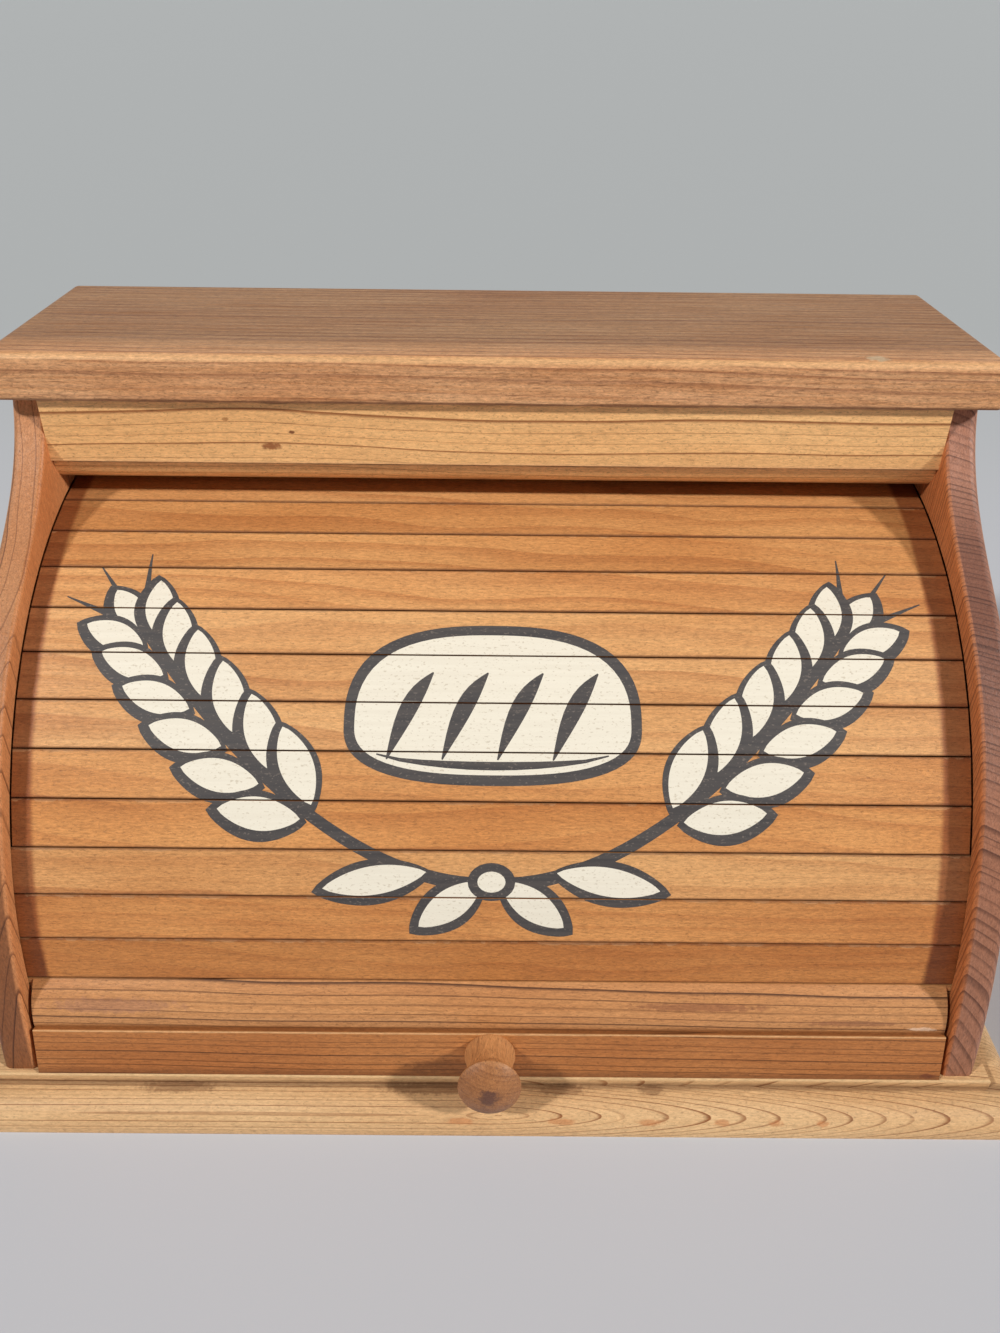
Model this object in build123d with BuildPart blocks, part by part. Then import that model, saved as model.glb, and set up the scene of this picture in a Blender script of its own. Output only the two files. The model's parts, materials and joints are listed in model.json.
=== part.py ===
from build123d import *
import math
import os

# Roll-top bread box in pine. X is the width, -Y is the front, +Z is up, in millimetres.
# The origin is in the middle of the footprint, on the surface that the box stands on.

# ---- Driving dimensions ----------------------------------------------------------------
inner_width = 380.0          # between the two sides
box_depth = 279.5            # front to back over the base board
side_height = 236.0          # side panels, between the base and the top board
side_thickness = 14.0
base_thickness = 16.0
base_overhang = 21.5         # base beyond the outer face of each side
top_thickness = 19.0
top_overhang = 5.0           # top board beyond the outer face of each side
top_depth = 114.0
back_thickness = 4.0
back_rebate = 10.0           # how far the back panel reaches into each side

base_step = 4.5              # upright step at the top of the moulded edge of the base
base_ledge = 4.5             # flat below the step
base_round = 11.4            # quarter-round edge below the ledge
top_front_round = 4.0        # worn front edge of the top board
top_corner_round = 3.0       # its upright corners
side_front_round = 4.0       # outer long edge at the front of a side
side_inner_round = 1.5
side_foot_reveal = 14.2      # side in front of the curtain, at the base
side_reveals = ((10.8, 8.2), (23.5, 7.0), (37.9, 8.7), (51.8, 9.4), (63.9, 11.2), (74.0, 22.9))
side_top_setback = 9.5       # side behind the front edge of the top board

valance_setback = 2.5        # valance face behind the front edge of the top board
valance_thickness = 19.0
valance_height = 38.0
valance_step = 2.5           # ledge above the rounded lower edge of the valance
valance_round = 9.0
valance_bead_height = 10.7

slat_count = 12
slat_pitch = 19.6            # along the outside of the closed curtain
slat_gap = 0.4               # between neighbours, at the front and at the back
slat_thickness = 6.0
slat_edge_round = 0.5
canvas_thickness = 0.6
canvas_side_margin = 10.0    # canvas short of the inner face of each side
canvas_gap = 0.5             # canvas kept clear of each hinge line
canvas_under_rail = 4.5      # degrees of the arc on which the cloth backs the lift rail
curtain_radius = 183.5       # outside of the curtain
arc_from_rear = 63.5         # centre of the curtain's arc in front of the box's back
arc_above_base = 11.0        # and above the base board
lead_slats = 3               # slats that stay on the arc with the lift rail
bending_joints = 4           # joints that let the tail turn down behind

rail_angle = 8.6             # top of the lift rail, seen from the arc's centre
rail_proud = 10.5            # lift rail's ledge in front of the slats' outer face
rail_ledge_height = 20.5     # ledge of the lift rail above the base board
rail_slope = 15.9            # how far the front face leans back
rail_ledge = 2.2
rail_bulge = 2.4
rail_end_gap = 2.0           # lift rail short of the side's inner face
rail_foot_gap = 0.3          # under the closed lift rail
rail_joint_gap = 0.15        # degrees between the rail and the first slat, at the front
rail_hinge_gap = 0.05        # and at the canvas
tongue_end_gap = 1.0         # slat and tongue ends short of the groove's floor
tail_end_gap = 0.5           # tail slats short of the side's inner face

groove_depth = 6.0
groove_clearance = 0.4       # each side of a slat in its groove
groove_back_gap = 4.6        # wood between the groove and the back panel
groove_end_height = 60.0     # lower end of the groove behind

knob_diameter = 25.4
knob_length = 24.0
knob_foot_diameter = 21.0
knob_foot_height = 0.8       # straight collar against the rail
knob_neck_diameter = 18.2
knob_neck = ((0.6, 4.0), (0.0, 10.0), (0.5, 14.5))       # radius over the neck's, at a height
knob_rim = ((0.5, 18.2), (0.0, 18.9), (0.4, 19.5))       # radius under the head's, at a height
screw_diameter = 4.0
screw_clearance = 0.1
screw_head_diameter = 8.0
screw_head_height = 2.6
screw_head_round = 1.2
screw_slot_width = 1.2
screw_slot_depth = 1.0
screw_recess = 1.5           # head below the inner face of the rail
recess_clearance = 0.5       # round the screw's head
knob_screw_bite = 13.0       # screw inside the knob
hole_end_gap = 1.0           # hole deeper than its dowel, screw or nail

dowel_diameter = 8.0
dowel_length = 30.0
dowel_in_top = 10.0
side_dowel_depths = (26.0, 61.0, 96.0)       # behind the front edge of the top board
valance_dowel_xs = (-120.0, 0.0, 120.0)
base_screw_length = 45.0
base_screw_head = 7.2
base_screw_sink = 0.5        # heads above the base's underside
countersink_diameter = 8.4
base_screw_front = 40.0      # foremost screw behind the front edge of the flat
base_screw_middle = 15.0     # middle screw behind the middle of the base
base_screw_rear = 28.0       # rearmost screw in front of the back
nail_diameter = 1.6
nail_length = 16.0
nail_edge_gap = 2.0          # nails outside the groove
nail_heights = (45.0, 100.0, 155.0, 210.0)
fit_clearance = 0.1          # back panel in its rebates

# ---- Worked out ------------------------------------------------------------------------
half_inner = inner_width / 2
half_outer = half_inner + side_thickness
half_base = half_outer + base_overhang
half_top = half_outer + top_overhang
front = -box_depth / 2
rear = box_depth / 2
side_top = base_thickness + side_height
box_height = side_top + top_thickness
top_front = rear - top_depth
valance_front = top_front + valance_setback
valance_rear = valance_front + valance_thickness
valance_bottom = side_top - valance_height
back_face = rear - back_thickness
arc_y = rear - arc_from_rear
arc_z = base_thickness + arc_above_base
back_radius = curtain_radius - slat_thickness       # canvas line, where the curtain bends
slat_angle = math.degrees(slat_pitch / curtain_radius)
slat_width = slat_pitch - slat_gap
back_width = slat_pitch * back_radius / curtain_radius - slat_gap
corner_radius = math.hypot(curtain_radius, slat_width / 2)
lead_half = half_inner + groove_depth - tongue_end_gap
tail_half = half_inner - tail_end_gap
rail_half = half_inner - rail_end_gap
foot_z = base_thickness + rail_foot_gap

os.makedirs("parts", exist_ok=True)


def save(builder, name):
    """Give a finished piece its name and write it to its file."""
    builder.part.label = name
    export_step(builder.part, f"parts/{name}.step")


def on_arc(radius, angle):
    """Point (y, z) on the curtain's arc. The angle rises from straight ahead, in degrees."""
    turn = math.radians(angle)
    return (arc_y - radius * math.cos(turn), arc_z + radius * math.sin(turn))


def arc_points(radius, low, high):
    """Three points on the curtain's arc, from one angle to another."""
    return [on_arc(radius, angle) for angle in (low, (low + high) / 2, high)]


def angle_at_height(radius, height):
    """Angle at which the arc of this radius passes a height, at the front."""
    return math.degrees(math.asin((height - arc_z) / radius))


def radius_of(edge):
    """Distance of an edge's middle from the arc's axis."""
    middle = edge.center()
    return math.hypot(middle.Y - arc_y, middle.Z - arc_z)


def angle_after(slat):
    """Angle of the joint above a slat. Joint 0 is the one above the lift rail."""
    return rail_angle + slat * slat_angle


# ---- Base board ------------------------------------------------------------------------
edge_width = base_ledge + base_round
flat_front = front + edge_width
flat_half = half_base - edge_width
plate_height = base_thickness - base_step
base_screw_ys = (flat_front + base_screw_front, base_screw_middle, rear - base_screw_rear)
base_screw_x = half_inner + side_thickness / 2
base_screw_places = [(sign * base_screw_x, y) for sign in (-1, 1) for y in base_screw_ys]

with BuildPart() as base_board:
    with BuildSketch():
        Rectangle(2 * half_base, box_depth)
    extrude(amount=plate_height)
    top_edges = base_board.faces().sort_by(Axis.Z)[-1].edges()
    fillet(top_edges.sort_by(Axis.Y)[:-1], radius=base_round)
    with BuildSketch(Plane.XY.offset(plate_height - base_round)):
        with Locations((0, (flat_front + rear) / 2)):
            Rectangle(2 * flat_half, rear - flat_front)
    extrude(amount=base_round + base_step)
    with Locations(*[Location((x, y, 0), (180, 0, 0)) for x, y in base_screw_places]):
        CounterSinkHole(screw_diameter / 2 + screw_clearance, countersink_diameter / 2)
save(base_board, "base_board")

side_dowel_ys = [top_front + depth for depth in side_dowel_depths]
nail_side_x = half_inner + groove_depth + nail_edge_gap

# ---- Side panels -----------------------------------------------------------------------
# The front edge is an S: hollow under the top board, then full down to the base.
side_foot_radius = curtain_radius + side_foot_reveal
side_edge = [(top_front + side_top_setback, side_top)]
side_edge += [on_arc(curtain_radius + reveal, angle) for angle, reveal in reversed(side_reveals)]
side_edge += [on_arc(side_foot_radius, angle_at_height(side_foot_radius, base_thickness))]
groove_inner = back_radius - groove_clearance
groove_outer = corner_radius + groove_clearance
bend_radius_outer = back_face - groove_back_gap - arc_y
bend_radius_inner = bend_radius_outer - (groove_outer - groove_inner)
bend_z = arc_z + groove_outer - bend_radius_outer
dowel_hole_depth = dowel_length - dowel_in_top + hole_end_gap     # in a side or the valance


def side_panel(sign):
    """One side: outline, rounded front edge, curtain groove and rebate for the back."""
    inner_plane = Plane(origin=(sign * half_inner, 0, 0), x_dir=(0, 1, 0), z_dir=(1, 0, 0))
    with BuildPart() as panel:
        with BuildSketch(inner_plane):
            with BuildLine():
                Spline(*side_edge)
                Polyline(side_edge[-1], (rear, base_thickness), (rear, side_top), side_edge[0])
            make_face()
        extrude(amount=sign * side_thickness)
        outward = Axis((0, 0, 0), (sign, 0, 0))
        for end, radius in ((-1, side_front_round), (0, side_inner_round)):
            fillet(panel.edges().filter_by(GeomType.BSPLINE).sort_by(outward)[end], radius=radius)
        with BuildSketch(inner_plane):
            with BuildLine():
                outer_arc = arc_points(groove_outer, angle_at_height(groove_outer, base_thickness), 90)
                inner_arc = arc_points(groove_inner, angle_at_height(groove_inner, base_thickness), 90)
                outer_bend = (arc_y + bend_radius_outer, bend_z)
                inner_bend = (arc_y + bend_radius_inner, bend_z)
                ThreePointArc(*outer_arc)
                TangentArc(outer_arc[-1], outer_bend, tangent=(1, 0))
                Polyline(
                    outer_bend,
                    (outer_bend[0], groove_end_height),
                    (inner_bend[0], groove_end_height),
                    inner_bend,
                )
                TangentArc(inner_bend, inner_arc[-1], tangent=(0, 1))
                ThreePointArc(*inner_arc)
                Line(inner_arc[0], outer_arc[0])
            make_face()
        extrude(amount=sign * groove_depth, mode=Mode.SUBTRACT)
        with BuildSketch(inner_plane):
            with Locations(((back_face + rear) / 2, (base_thickness + side_top) / 2)):
                Rectangle(back_thickness, side_height)
        extrude(amount=sign * (back_rebate + fit_clearance), mode=Mode.SUBTRACT)
        with BuildSketch(Plane.XY.offset(side_top)):
            with Locations(*[(sign * base_screw_x, y) for y in side_dowel_ys]):
                Circle(dowel_diameter / 2)
        extrude(amount=-dowel_hole_depth, mode=Mode.SUBTRACT)
        with BuildSketch(Plane.XY.offset(base_thickness)):
            with Locations(*[(sign * base_screw_x, y) for y in base_screw_ys]):
                Circle(screw_diameter / 2)
        extrude(amount=base_screw_length - base_thickness + hole_end_gap, mode=Mode.SUBTRACT)
        with BuildSketch(Plane.XZ.offset(-back_face)):
            with Locations(*[(sign * nail_side_x, z) for z in nail_heights]):
                Circle(nail_diameter / 2)
        extrude(amount=nail_length - back_thickness + hole_end_gap, mode=Mode.SUBTRACT)
    return panel


left_side = side_panel(-1)
right_side = side_panel(1)
save(left_side, "left_side")
save(right_side, "right_side")

# ---- Top board -------------------------------------------------------------------------
valance_middle = (valance_front + valance_rear) / 2
dowel_places = [(sign * base_screw_x, y) for sign in (-1, 1) for y in side_dowel_ys]
dowel_places += [(x, valance_middle) for x in valance_dowel_xs]

with BuildPart() as top_board:
    with BuildSketch(Plane.XY.offset(side_top)):
        with Locations((0, (top_front + rear) / 2)):
            Rectangle(2 * half_top, top_depth)
    extrude(amount=top_thickness)
    fillet(top_board.edges().filter_by(Axis.Z), radius=top_corner_round)
    upper_front = top_board.faces().sort_by(Axis.Z)[-1].edges().filter_by(Axis.X).sort_by(Axis.Y)[0]
    fillet(upper_front, radius=top_front_round)
    with BuildSketch(Plane.XY.offset(side_top)):
        with Locations(*dowel_places):
            Circle(dowel_diameter / 2)
    extrude(amount=dowel_in_top + hole_end_gap, mode=Mode.SUBTRACT)
save(top_board, "top_board")

# ---- Valance ---------------------------------------------------------------------------
bead_top = valance_bottom + valance_bead_height
bead_front = valance_front + valance_step
across = Plane(origin=(-half_inner, 0, 0), x_dir=(0, 1, 0), z_dir=(1, 0, 0))

with BuildPart() as valance:
    with BuildSketch(across):
        with BuildLine():
            Polyline(
                (bead_front, valance_bottom + valance_round),
                (bead_front, bead_top),
                (valance_front, bead_top),
                (valance_front, side_top),
                (valance_rear, side_top),
                (valance_rear, valance_bottom),
                (bead_front + valance_round, valance_bottom),
            )
            RadiusArc(
                (bead_front + valance_round, valance_bottom),
                (bead_front, valance_bottom + valance_round),
                valance_round,
            )
        make_face()
    extrude(amount=inner_width)
    with BuildSketch(Plane.XY.offset(side_top)):
        with Locations(*[(x, valance_middle) for x in valance_dowel_xs]):
            Circle(dowel_diameter / 2)
    extrude(amount=-dowel_hole_depth, mode=Mode.SUBTRACT)
save(valance, "valance")

# ---- Back panel ------------------------------------------------------------------------
half_back = half_inner + back_rebate
nail_places = [(sign * nail_side_x, z) for sign in (-1, 1) for z in nail_heights]

with BuildPart() as back_panel:
    with BuildSketch(Plane.XZ.offset(-back_face)):
        with Locations((0, (base_thickness + side_top) / 2)):
            Rectangle(2 * half_back, side_height)
    extrude(amount=-back_thickness)
    with BuildSketch(Plane.XZ.offset(-back_face)):
        with Locations(*nail_places):
            Circle(nail_diameter / 2)
    extrude(amount=-back_thickness, mode=Mode.SUBTRACT)
save(back_panel, "back_panel")

# ---- Lift rail -------------------------------------------------------------------------
# Its front face leans back, its upper part rounds in to the slats, and behind the front
# part a tongue of the slats' thickness runs on into the groove at each end.
lean = math.radians(rail_slope)
face_up = (math.sin(lean), math.cos(lean))
face_out = (-math.cos(lean), math.sin(lean))
ledge_radius = curtain_radius + rail_proud
ledge_height = base_thickness + rail_ledge_height
ledge_point = on_arc(ledge_radius, angle_at_height(ledge_radius, ledge_height))
face_run = (ledge_point[1] - foot_z) / face_up[1]
foot_point = (ledge_point[0] - face_run * face_up[0], foot_z)
ledge_inner = (ledge_point[0] - rail_ledge * face_out[0], ledge_point[1] - rail_ledge * face_out[1])
tongue_top = rail_angle - rail_joint_gap
rail_top_outer = on_arc(curtain_radius, tongue_top)
chord = (rail_top_outer[0] - ledge_inner[0], rail_top_outer[1] - ledge_inner[1])
bulge = rail_bulge / math.hypot(*chord)
round_middle = (
    (ledge_inner[0] + rail_top_outer[0]) / 2 - bulge * chord[1],
    (ledge_inner[1] + rail_top_outer[1]) / 2 + bulge * chord[0],
)
rail_back = arc_points(back_radius, angle_at_height(back_radius, foot_z), rail_angle - rail_hinge_gap)
tongue_front = arc_points(curtain_radius, angle_at_height(curtain_radius, foot_z), tongue_top)
rail_plane = Plane(origin=(-rail_half, 0, 0), x_dir=(0, 1, 0), z_dir=(1, 0, 0))
tongue_plane = Plane(origin=(-lead_half, 0, 0), x_dir=(0, 1, 0), z_dir=(1, 0, 0))
knob_centre = ((ledge_point[0] + foot_point[0]) / 2, (ledge_point[1] + foot_point[1]) / 2)
knob_plane = Plane(origin=(0, *knob_centre), x_dir=(1, 0, 0), z_dir=(0, *face_out))
rail_depth = abs(knob_centre[0] - on_arc(back_radius, 0)[0])
screw_seat = rail_depth - screw_head_height - screw_recess

with BuildPart() as lift_rail:
    with BuildSketch(rail_plane):
        with BuildLine():
            ThreePointArc(ledge_inner, round_middle, rail_top_outer)
            Line(rail_top_outer, rail_back[-1])
            ThreePointArc(*rail_back)
            Polyline(rail_back[0], foot_point, ledge_point, ledge_inner)
        make_face()
    extrude(amount=2 * rail_half)
    with BuildSketch(tongue_plane):
        with BuildLine():
            ThreePointArc(*tongue_front)
            Line(tongue_front[-1], rail_back[-1])
            ThreePointArc(*rail_back)
            Line(rail_back[0], tongue_front[0])
        make_face()
    extrude(amount=2 * lead_half)
    with BuildSketch(knob_plane):
        Circle(screw_diameter / 2 + screw_clearance)
    extrude(amount=-2 * rail_depth, mode=Mode.SUBTRACT)
    with BuildSketch(knob_plane.offset(-screw_seat)):
        Circle(screw_head_diameter / 2 + recess_clearance)
    extrude(amount=-rail_depth, mode=Mode.SUBTRACT)
save(lift_rail, "lift_rail")

# ---- Knob and its screw ----------------------------------------------------------------
foot_r = knob_foot_diameter / 2
neck_r = knob_neck_diameter / 2
head_r = knob_diameter / 2
knob_side = Plane(origin=knob_plane.origin, x_dir=(1, 0, 0), z_dir=Vector(0, *face_up) * -1)
neck_points = [(neck_r + extra, height) for extra, height in knob_neck]
rim_points = [(head_r - less, height) for less, height in knob_rim]

with BuildPart() as knob:
    with BuildSketch(knob_side):
        with BuildLine():
            Polyline((0, 0), (foot_r, 0), (foot_r, knob_foot_height))
            Spline((foot_r, knob_foot_height), *neck_points, rim_points[0])
            ThreePointArc(*rim_points)
            TangentArc((0, knob_length), rim_points[-1], tangent=(1, 0))
            Line((0, knob_length), (0, 0))
        make_face()
    revolve(axis=Axis(knob_plane.origin, knob_plane.z_dir))
    with BuildSketch(knob_plane):
        Circle(screw_diameter / 2)
    extrude(amount=knob_screw_bite + hole_end_gap, mode=Mode.SUBTRACT)
save(knob, "knob")

with BuildPart() as knob_screw:
    with BuildSketch(knob_plane.offset(-screw_seat)):
        Circle(screw_diameter / 2)
    extrude(amount=screw_seat + knob_screw_bite)
    with BuildSketch(knob_plane.offset(-screw_seat)):
        Circle(screw_head_diameter / 2)
    extrude(amount=-screw_head_height)
    fillet(knob_screw.faces().sort_by(Axis.Y)[-1].edges(), radius=screw_head_round)
    with BuildSketch(knob_plane.offset(-screw_seat - screw_head_height)):
        Rectangle(screw_slot_width, screw_head_diameter)
    extrude(amount=screw_slot_depth, mode=Mode.SUBTRACT)
save(knob_screw, "knob_screw")

# ---- Slats -----------------------------------------------------------------------------


def slat_piece(number):
    """One slat, a little narrower at its back, on its place on the arc."""
    middle = angle_after(number - 0.5)
    half = lead_half if number <= lead_slats else tail_half
    turn = math.radians(middle)
    plane = Plane(
        origin=(-half, *on_arc(back_radius, middle)),
        x_dir=(0, -math.cos(turn), math.sin(turn)),
        z_dir=(1, 0, 0),
    )
    with BuildPart() as slat:
        with BuildSketch(plane):
            with BuildLine():
                Polyline(
                    (0, -back_width / 2),
                    (slat_thickness, -slat_width / 2),
                    (slat_thickness, slat_width / 2),
                    (0, back_width / 2),
                    close=True,
                )
            make_face()
        extrude(amount=2 * half)
        fillet(slat.edges().filter_by(Axis.X).sort_by(radius_of)[-2:], radius=slat_edge_round)
    return slat


slats = [slat_piece(number) for number in range(1, slat_count + 1)]
for number, slat in enumerate(slats, start=1):
    save(slat, f"slat_{number:02d}")

# ---- Canvas ----------------------------------------------------------------------------
# One cloth backs the whole curtain. It is cut here at each hinge line.


def canvas_piece(first_angle, last_angle):
    """A strip of the cloth behind the slats, from one angle of the arc to another."""
    trim = math.degrees(canvas_gap / back_radius)
    low = first_angle + trim
    high = last_angle - trim
    middle = (low + high) / 2
    half = half_inner - canvas_side_margin
    plane = Plane(origin=(-half, 0, 0), x_dir=(0, 1, 0), z_dir=(1, 0, 0))
    cloth_outer = back_radius
    cloth_inner = cloth_outer - canvas_thickness
    with BuildPart() as cloth:
        with BuildSketch(plane):
            with BuildLine():
                ThreePointArc(*[on_arc(cloth_outer, a) for a in (low, middle, high)])
                Line(on_arc(cloth_outer, high), on_arc(cloth_inner, high))
                ThreePointArc(*[on_arc(cloth_inner, a) for a in (high, middle, low)])
                Line(on_arc(cloth_inner, low), on_arc(cloth_outer, low))
            make_face()
        extrude(amount=2 * half)
    return cloth


canvas_start = rail_angle - canvas_under_rail
save(canvas_piece(canvas_start, angle_after(lead_slats)), "canvas_lead")
for number in range(lead_slats + 1, lead_slats + bending_joints):
    save(canvas_piece(angle_after(number - 1), angle_after(number)), f"canvas_{number:02d}")
tail_start = angle_after(lead_slats + bending_joints - 1)
save(canvas_piece(tail_start, angle_after(slat_count)), "canvas_tail")

# ---- Fasteners -------------------------------------------------------------------------
with BuildPart() as base_screws:
    with BuildSketch(Plane.XY.offset(base_screw_sink)):
        with Locations(*base_screw_places):
            Circle(screw_diameter / 2)
    extrude(amount=base_screw_length)
    with Locations(*[(x, y, base_screw_sink) for x, y in base_screw_places]):
        Cone(
            base_screw_head / 2,
            screw_diameter / 2,
            (base_screw_head - screw_diameter) / 2,
            align=(Align.CENTER, Align.CENTER, Align.MIN),
        )
save(base_screws, "base_screws")

with BuildPart() as dowels:
    with BuildSketch(Plane.XY.offset(side_top - (dowel_length - dowel_in_top))):
        with Locations(*dowel_places):
            Circle(dowel_diameter / 2)
    extrude(amount=dowel_length)
save(dowels, "dowels")

with BuildPart() as back_nails:
    with BuildSketch(Plane.XZ.offset(-rear)):
        with Locations(*nail_places):
            Circle(nail_diameter / 2)
    extrude(amount=nail_length)
save(back_nails, "back_nails")

print("box", 2 * half_base, "x", box_depth, "x", box_height, "mm, slats every", slat_angle, "degrees")
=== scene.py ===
# %% [markdown]
# # A roll-top bread box
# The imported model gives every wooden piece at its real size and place. This script adds what a
# craftsman's eye would look for: the figure of each board, the varnish and its wear, dirt in the
# corners, the painted ornament on the curtain and the cloth behind it. All sizes are in metres.

# %% Load the fixed frame
import json
import math

import bmesh
import bpy
from mathutils import Matrix, Vector

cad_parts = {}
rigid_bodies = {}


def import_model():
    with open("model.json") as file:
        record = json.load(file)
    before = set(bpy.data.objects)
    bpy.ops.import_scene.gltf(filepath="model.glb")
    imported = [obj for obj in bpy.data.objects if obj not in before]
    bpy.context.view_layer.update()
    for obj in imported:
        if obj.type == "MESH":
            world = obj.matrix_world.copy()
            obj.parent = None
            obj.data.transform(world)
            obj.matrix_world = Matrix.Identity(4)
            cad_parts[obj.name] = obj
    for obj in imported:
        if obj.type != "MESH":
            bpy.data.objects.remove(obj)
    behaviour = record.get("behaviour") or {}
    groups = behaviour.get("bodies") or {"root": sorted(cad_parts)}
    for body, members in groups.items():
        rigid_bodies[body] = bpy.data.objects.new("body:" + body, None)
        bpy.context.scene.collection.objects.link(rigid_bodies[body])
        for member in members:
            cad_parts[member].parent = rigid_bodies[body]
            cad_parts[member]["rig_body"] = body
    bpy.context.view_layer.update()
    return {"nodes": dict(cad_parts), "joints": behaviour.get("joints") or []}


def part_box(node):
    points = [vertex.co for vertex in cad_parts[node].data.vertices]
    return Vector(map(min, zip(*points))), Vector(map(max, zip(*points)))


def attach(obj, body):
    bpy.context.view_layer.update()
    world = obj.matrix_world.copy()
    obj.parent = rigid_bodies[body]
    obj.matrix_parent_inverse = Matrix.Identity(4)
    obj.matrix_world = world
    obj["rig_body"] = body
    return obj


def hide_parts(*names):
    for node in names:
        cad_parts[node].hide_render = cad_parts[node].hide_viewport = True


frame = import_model()

# %% [markdown]
# ## Where things are
# The curtain runs on an arc. Its centre is the axis of the joint that rolls it, so it is read from
# the frame. The other places come from the corners of the nodes, so nothing is measured twice.

# %% Read the main places
MM = 0.001
roll_joint = next(j for j in frame["joints"] if j["name"] == "curtain_roll")
ARC_Y, ARC_Z = roll_joint["pos_m"][1], roll_joint["pos_m"][2]
SLAT_COUNT = 12
SLATS = range(1, SLAT_COUNT + 1)
SLAT_THICKNESS = 6.0 * MM
SLAT_PITCH = 19.6 * MM            # measured round the outside of the curtain
CURTAIN_RADIUS = 183.5 * MM
BACK_RADIUS = CURTAIN_RADIUS - SLAT_THICKNESS
RAIL_TOP_ANGLE = math.radians(8.6)
SLAT_ANGLE = SLAT_PITCH / CURTAIN_RADIUS
inner_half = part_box("valance")[1].x
print("arc centre", round(ARC_Y, 4), round(ARC_Z, 4), "inner half width", round(inner_half, 4))

# %% [markdown]
# ## Nodes without the noise
# A shader tree built in code is easy to lose in a wall of links. A few small helpers keep it
# readable: one places a node and fills its inputs, with a value or with another node's output, and
# the others do sums. A socket knows its tree, so the tree need not be named in every call.

# %% Place nodes and do sums
def is_socket(value):
    return isinstance(value, bpy.types.NodeSocket)


def fill_inputs(node, values):
    """Set a node's inputs to plain values, or link them to other nodes' outputs."""
    for key, value in values.items():
        if is_socket(value):
            node.id_data.links.new(value, node.inputs[key])
        else:
            node.inputs[key].default_value = value
    return node


def place(kind, inputs={}, tree=None, **settings):
    """Add a shader node, set it up, fill its inputs. A linked socket tells in which tree."""
    tree = tree or next(value.id_data for value in inputs.values() if is_socket(value))
    made = tree.nodes.new("ShaderNode" + kind)
    for key, value in settings.items():
        setattr(made, key, value)
    return fill_inputs(made, inputs)


def calc(operation, *values, clamp=False):
    """One Math node. Returns its output."""
    return place("Math", dict(enumerate(values)), operation=operation, use_clamp=clamp).outputs[0]


def plus(first, second):
    return calc("ADD", first, second)


def minus(first, second):
    return calc("SUBTRACT", first, second)


def times(first, second):
    return calc("MULTIPLY", first, second)


print("Blender", bpy.app.version_string)

# %% [markdown]
# ## Places as vectors
# Every effect on this box depends on where a point lies in it, not on a picture wrapped round it,
# because a solid pattern meets itself at every corner without a seam. These helpers take a place
# apart, measure in it, and shake it with noise that is drawn out along one axis, as wood is.

# %% Sums with vectors
def vector_calc(operation, *values):
    """One Vector Math node. Returns its vector output."""
    return place("VectorMath", dict(enumerate(values)), operation=operation).outputs["Vector"]


def scaled(vector, factor):
    """A vector or a colour times a number."""
    return place("VectorMath", {0: vector, "Scale": factor}, operation="SCALE").outputs["Vector"]


def split(vector):
    """The x, y and z of a vector."""
    return place("SeparateXYZ", {0: vector}).outputs[:]


def distance(y, z):
    """Length of a line with these two sides."""
    return calc("SQRT", plus(times(y, y), times(z, z)))


def noise(position, scales, detail, roughness=0.5):
    """Noise with its own scale along each axis. Returns both outputs."""
    spread = vector_calc("MULTIPLY", position, scales)
    return place("TexNoise", {"Vector": spread, "Scale": 1.0, "Detail": detail,
                              "Roughness": roughness}).outputs


# %% [markdown]
# ## Masks and colours
# A mask says how much of a second colour lies on a first one. A smooth step turns a measured
# distance into a mask without a hard rim. Aged wood is best darkened by multiplying, because its
# figure then stays visible under the shade, where a plain mix would hide it.

# %% Smooth steps and mixes
def ramp(value, low, high, to_low=0.0, to_high=1.0):
    """Smooth step: to_low below low, to_high above high."""
    return place(
        "MapRange",
        {"Value": value, "From Min": low, "From Max": high, "To Min": to_low, "To Max": to_high},
        interpolation_type="SMOOTHSTEP").outputs["Result"]


def mix_colours(factor, first, second, blend_type="MIX"):
    """Mix two colours, each a socket or an (r, g, b, 1) value."""
    return place("Mix", {0: factor, 6: first, 7: second},
                 data_type="RGBA", blend_type=blend_type).outputs[2]


def shaded(share, colour, factor):
    """A colour multiplied by (r, g, b) where the share is 1, and untouched where it is 0."""
    return mix_colours(share, colour, (*factor, 1.0), "MULTIPLY")


def tint(red, green, blue):
    """A colour as a painter would pick it on a screen, 0 to 255, turned into linear light."""
    def linear(level):
        share = level / 255
        return share / 12.92 if share <= 0.04045 else ((share + 0.055) / 1.055) ** 2.4
    return (linear(red), linear(green), linear(blue), 1.0)


print("middle grey in linear light", round(tint(128, 128, 128)[0], 3))

# %% [markdown]
# ## Effects as groups
# Rings, fibres, worn edges and stains come back on piece after piece. Each could be built again in
# every material, but a node group is built once and placed with its own numbers, so a change to it
# reaches every board. A group here takes places and numbers and gives masks.

# %% Start a group and use one
VECTOR = None                     # stands for a vector input, which has no value of its own


def new_group(name, inputs, outputs):
    """An empty shader group: its tree, the sockets it is given, and its end node."""
    tree = bpy.data.node_groups.new(name, "ShaderNodeTree")
    for label, value in inputs.items():
        kind = "NodeSocketVector" if value is VECTOR else "NodeSocketFloat"
        socket = tree.interface.new_socket(label, in_out="INPUT", socket_type=kind)
        if value is not VECTOR:
            socket.default_value = value
    for label in outputs:
        tree.interface.new_socket(label, in_out="OUTPUT", socket_type="NodeSocketFloat")
    print("group", name, "gives", ", ".join(outputs))
    return tree, tree.nodes.new("NodeGroupInput").outputs, tree.nodes.new("NodeGroupOutput")


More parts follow.
